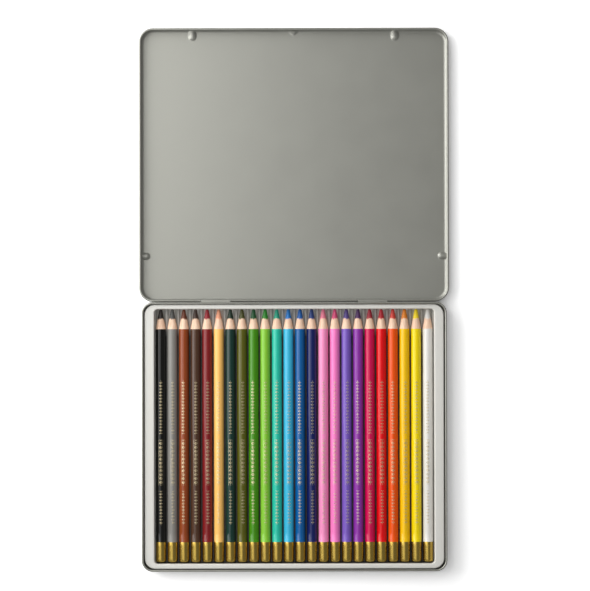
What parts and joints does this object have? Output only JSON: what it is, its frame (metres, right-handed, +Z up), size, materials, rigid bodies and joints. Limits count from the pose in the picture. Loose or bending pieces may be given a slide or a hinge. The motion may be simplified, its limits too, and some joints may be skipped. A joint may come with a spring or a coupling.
{
  "type": "hinged pencil tin",
  "caption": "Flat hinged metal tin lying open, with a moulded tray that holds a row of round sharpened coloured pencils.",
  "frame": {"origin": "centre of the base's underside, where the tin rests", "axes": "+X to the right along the hinge line, +Y from the base's front edge over the hinge towards the opened lid, +Z up"},
  "size_m": [0.215, 0.3763, 0.0121],
  "materials": {
    "lacquered_tin": "satin grey lacquer",
    "steel_wire": "bright drawn wire",
    "tray_plastic": "matt",
    "paint_black": "gloss paint over wood, bare wood at the cone, gold dip at the blunt end",
    "paint_grey": "gloss paint over wood, bare wood at the cone, gold dip at the blunt end",
    "paint_rust": "gloss paint over wood, bare wood at the cone, gold dip at the blunt end",
    "paint_umber": "gloss paint over wood, bare wood at the cone, gold dip at the blunt end",
    "paint_maroon": "gloss paint over wood, bare wood at the cone, gold dip at the blunt end",
    "paint_apricot": "gloss paint over wood, bare wood at the cone, gold dip at the blunt end",
    "paint_bottle_green": "gloss paint over wood, bare wood at the cone, gold dip at the blunt end",
    "paint_olive": "gloss paint over wood, bare wood at the cone, gold dip at the blunt end",
    "paint_leaf_green": "gloss paint over wood, bare wood at the cone, gold dip at the blunt end",
    "paint_lime": "gloss paint over wood, bare wood at the cone, gold dip at the blunt end",
    "paint_turquoise": "gloss paint over wood, bare wood at the cone, gold dip at the blunt end",
    "paint_sky_blue": "gloss paint over wood, bare wood at the cone, gold dip at the blunt end",
    "paint_mid_blue": "gloss paint over wood, bare wood at the cone, gold dip at the blunt end",
    "paint_navy": "gloss paint over wood, bare wood at the cone, gold dip at the blunt end",
    "paint_pale_pink": "gloss paint over wood, bare wood at the cone, gold dip at the blunt end",
    "paint_orchid": "gloss paint over wood, bare wood at the cone, gold dip at the blunt end",
    "paint_violet": "gloss paint over wood, bare wood at the cone, gold dip at the blunt end",
    "paint_purple": "gloss paint over wood, bare wood at the cone, gold dip at the blunt end",
    "paint_raspberry": "gloss paint over wood, bare wood at the cone, gold dip at the blunt end",
    "paint_red": "gloss paint over wood, bare wood at the cone, gold dip at the blunt end",
    "paint_orange": "gloss paint over wood, bare wood at the cone, gold dip at the blunt end",
    "paint_golden_yellow": "gloss paint over wood, bare wood at the cone, gold dip at the blunt end",
    "paint_lemon": "gloss paint over wood, bare wood at the cone, gold dip at the blunt end",
    "paint_white": "gloss paint over wood, bare wood at the cone, gold dip at the blunt end",
    "lead_black": "waxy",
    "lead_grey": "waxy",
    "lead_rust": "waxy",
    "lead_umber": "waxy",
    "lead_maroon": "waxy",
    "lead_apricot": "waxy",
    "lead_bottle_green": "waxy",
    "lead_olive": "waxy",
    "lead_leaf_green": "waxy",
    "lead_lime": "waxy",
    "lead_turquoise": "waxy",
    "lead_sky_blue": "waxy",
    "lead_mid_blue": "waxy",
    "lead_navy": "waxy",
    "lead_pale_pink": "waxy",
    "lead_orchid": "waxy",
    "lead_violet": "waxy",
    "lead_purple": "waxy",
    "lead_raspberry": "waxy",
    "lead_red": "waxy",
    "lead_orange": "waxy",
    "lead_golden_yellow": "waxy",
    "lead_lemon": "waxy",
    "lead_white": "waxy"
  },
  "bodies": {
    "base": {"base_pan": "lacquered_tin"},
    "lid": {"lid_shell": "lacquered_tin", "hinge_wire_left": "steel_wire", "hinge_wire_right": "steel_wire"},
    "tray": {"insert_tray": "tray_plastic"},
    "pencil_01_black": {"pencil_casing_01_black": "paint_black", "pencil_core_01_black": "lead_black"},
    "pencil_02_grey": {"pencil_casing_02_grey": "paint_grey", "pencil_core_02_grey": "lead_grey"},
    "pencil_03_rust": {"pencil_casing_03_rust": "paint_rust", "pencil_core_03_rust": "lead_rust"},
    "pencil_04_umber": {"pencil_casing_04_umber": "paint_umber", "pencil_core_04_umber": "lead_umber"},
    "pencil_05_maroon": {"pencil_casing_05_maroon": "paint_maroon", "pencil_core_05_maroon": "lead_maroon"},
    "pencil_06_apricot": {"pencil_casing_06_apricot": "paint_apricot", "pencil_core_06_apricot": "lead_apricot"},
    "pencil_07_bottle_green": {"pencil_casing_07_bottle_green": "paint_bottle_green", "pencil_core_07_bottle_green": "lead_bottle_green"},
    "pencil_08_olive": {"pencil_casing_08_olive": "paint_olive", "pencil_core_08_olive": "lead_olive"},
    "pencil_09_leaf_green": {"pencil_casing_09_leaf_green": "paint_leaf_green", "pencil_core_09_leaf_green": "lead_leaf_green"},
    "pencil_10_lime": {"pencil_casing_10_lime": "paint_lime", "pencil_core_10_lime": "lead_lime"},
    "pencil_11_turquoise": {"pencil_casing_11_turquoise": "paint_turquoise", "pencil_core_11_turquoise": "lead_turquoise"},
    "pencil_12_sky_blue": {"pencil_casing_12_sky_blue": "paint_sky_blue", "pencil_core_12_sky_blue": "lead_sky_blue"},
    "pencil_13_mid_blue": {"pencil_casing_13_mid_blue": "paint_mid_blue", "pencil_core_13_mid_blue": "lead_mid_blue"},
    "pencil_14_navy": {"pencil_casing_14_navy": "paint_navy", "pencil_core_14_navy": "lead_navy"},
    "pencil_15_pale_pink": {"pencil_casing_15_pale_pink": "paint_pale_pink", "pencil_core_15_pale_pink": "lead_pale_pink"},
    "pencil_16_orchid": {"pencil_casing_16_orchid": "paint_orchid", "pencil_core_16_orchid": "lead_orchid"},
    "pencil_17_violet": {"pencil_casing_17_violet": "paint_violet", "pencil_core_17_violet": "lead_violet"},
    "pencil_18_purple": {"pencil_casing_18_purple": "paint_purple", "pencil_core_18_purple": "lead_purple"},
    "pencil_19_raspberry": {"pencil_casing_19_raspberry": "paint_raspberry", "pencil_core_19_raspberry": "lead_raspberry"},
    "pencil_20_red": {"pencil_casing_20_red": "paint_red", "pencil_core_20_red": "lead_red"},
    "pencil_21_orange": {"pencil_casing_21_orange": "paint_orange", "pencil_core_21_orange": "lead_orange"},
    "pencil_22_golden_yellow": {"pencil_casing_22_golden_yellow": "paint_golden_yellow", "pencil_core_22_golden_yellow": "lead_golden_yellow"},
    "pencil_23_lemon": {"pencil_casing_23_lemon": "paint_lemon", "pencil_core_23_lemon": "lead_lemon"},
    "pencil_24_white": {"pencil_casing_24_white": "paint_white", "pencil_core_24_white": "lead_white"}
  },
  "joints": [
    {"name": "lid_hinge", "type": "hinge", "parent": "base", "child": "lid", "pos_m": [0, 0.09415, 0.00674], "axis": [-1, 0, 0], "range_deg": [-180, 0]},
    {"name": "tray_lift", "type": "slide", "parent": "base", "child": "tray", "axis": [0, 0, 1], "range_m": [0, 0.03]},
    {"name": "pencil_01_black_lift", "type": "slide", "parent": "tray", "child": "pencil_01_black", "axis": [0, 0, 1], "range_m": [0, 0.04]},
    {"name": "pencil_02_grey_lift", "type": "slide", "parent": "tray", "child": "pencil_02_grey", "axis": [0, 0, 1], "range_m": [0, 0.04]},
    {"name": "pencil_03_rust_lift", "type": "slide", "parent": "tray", "child": "pencil_03_rust", "axis": [0, 0, 1], "range_m": [0, 0.04]},
    {"name": "pencil_04_umber_lift", "type": "slide", "parent": "tray", "child": "pencil_04_umber", "axis": [0, 0, 1], "range_m": [0, 0.04]},
    {"name": "pencil_05_maroon_lift", "type": "slide", "parent": "tray", "child": "pencil_05_maroon", "axis": [0, 0, 1], "range_m": [0, 0.04]},
    {"name": "pencil_06_apricot_lift", "type": "slide", "parent": "tray", "child": "pencil_06_apricot", "axis": [0, 0, 1], "range_m": [0, 0.04]},
    {"name": "pencil_07_bottle_green_lift", "type": "slide", "parent": "tray", "child": "pencil_07_bottle_green", "axis": [0, 0, 1], "range_m": [0, 0.04]},
    {"name": "pencil_08_olive_lift", "type": "slide", "parent": "tray", "child": "pencil_08_olive", "axis": [0, 0, 1], "range_m": [0, 0.04]},
    {"name": "pencil_09_leaf_green_lift", "type": "slide", "parent": "tray", "child": "pencil_09_leaf_green", "axis": [0, 0, 1], "range_m": [0, 0.04]},
    {"name": "pencil_10_lime_lift", "type": "slide", "parent": "tray", "child": "pencil_10_lime", "axis": [0, 0, 1], "range_m": [0, 0.04]},
    {"name": "pencil_11_turquoise_lift", "type": "slide", "parent": "tray", "child": "pencil_11_turquoise", "axis": [0, 0, 1], "range_m": [0, 0.04]},
    {"name": "pencil_12_sky_blue_lift", "type": "slide", "parent": "tray", "child": "pencil_12_sky_blue", "axis": [0, 0, 1], "range_m": [0, 0.04]},
    {"name": "pencil_13_mid_blue_lift", "type": "slide", "parent": "tray", "child": "pencil_13_mid_blue", "axis": [0, 0, 1], "range_m": [0, 0.04]},
    {"name": "pencil_14_navy_lift", "type": "slide", "parent": "tray", "child": "pencil_14_navy", "axis": [0, 0, 1], "range_m": [0, 0.04]},
    {"name": "pencil_15_pale_pink_lift", "type": "slide", "parent": "tray", "child": "pencil_15_pale_pink", "axis": [0, 0, 1], "range_m": [0, 0.04]},
    {"name": "pencil_16_orchid_lift", "type": "slide", "parent": "tray", "child": "pencil_16_orchid", "axis": [0, 0, 1], "range_m": [0, 0.04]},
    {"name": "pencil_17_violet_lift", "type": "slide", "parent": "tray", "child": "pencil_17_violet", "axis": [0, 0, 1], "range_m": [0, 0.04]},
    {"name": "pencil_18_purple_lift", "type": "slide", "parent": "tray", "child": "pencil_18_purple", "axis": [0, 0, 1], "range_m": [0, 0.04]},
    {"name": "pencil_19_raspberry_lift", "type": "slide", "parent": "tray", "child": "pencil_19_raspberry", "axis": [0, 0, 1], "range_m": [0, 0.04]},
    {"name": "pencil_20_red_lift", "type": "slide", "parent": "tray", "child": "pencil_20_red", "axis": [0, 0, 1], "range_m": [0, 0.04]},
    {"name": "pencil_21_orange_lift", "type": "slide", "parent": "tray", "child": "pencil_21_orange", "axis": [0, 0, 1], "range_m": [0, 0.04]},
    {"name": "pencil_22_golden_yellow_lift", "type": "slide", "parent": "tray", "child": "pencil_22_golden_yellow", "axis": [0, 0, 1], "range_m": [0, 0.04]},
    {"name": "pencil_23_lemon_lift", "type": "slide", "parent": "tray", "child": "pencil_23_lemon", "axis": [0, 0, 1], "range_m": [0, 0.04]},
    {"name": "pencil_24_white_lift", "type": "slide", "parent": "tray", "child": "pencil_24_white", "axis": [0, 0, 1], "range_m": [0, 0.04]}
  ]
}
